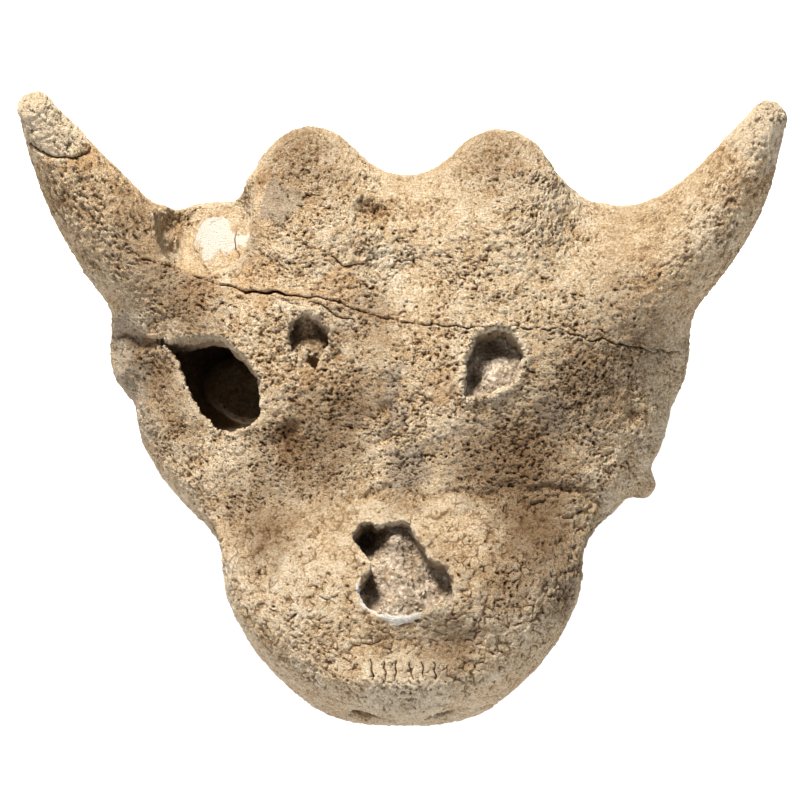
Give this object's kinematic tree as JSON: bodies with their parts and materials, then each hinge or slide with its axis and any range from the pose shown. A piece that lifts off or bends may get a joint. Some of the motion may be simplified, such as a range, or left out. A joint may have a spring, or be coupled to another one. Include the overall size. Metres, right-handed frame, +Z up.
{
  "type": "fossil horned turtle skull",
  "caption": "Fossil cranium of a horned land turtle: broad snout, two bull-like horns, knobbed rear crest, broken temple and snout filled with sediment.",
  "frame": {"origin": "middle of the skull's box, on the surface it lies on", "axes": "+X across the skull to the animal's left, +Y from the snout to the back of the head, +Z up"},
  "size_m": [0.2616, 0.2006, 0.1231],
  "materials": {
    "bone": "matte",
    "horn_bone": "matte",
    "sediment": "matte"
  },
  "bodies": {
    "root": {"snout": "bone", "braincase": "bone", "temple_right": "bone", "temple_left": "bone", "crown": "bone", "knob_left": "bone", "knob_right": "bone", "quadrate_left": "bone", "quadrate_right": "bone", "horn_left": "horn_bone", "horn_right": "horn_bone", "horn_tip_right": "horn_bone", "sediment_snout": "sediment", "sediment_roof": "sediment"}
  },
  "joints": []
}
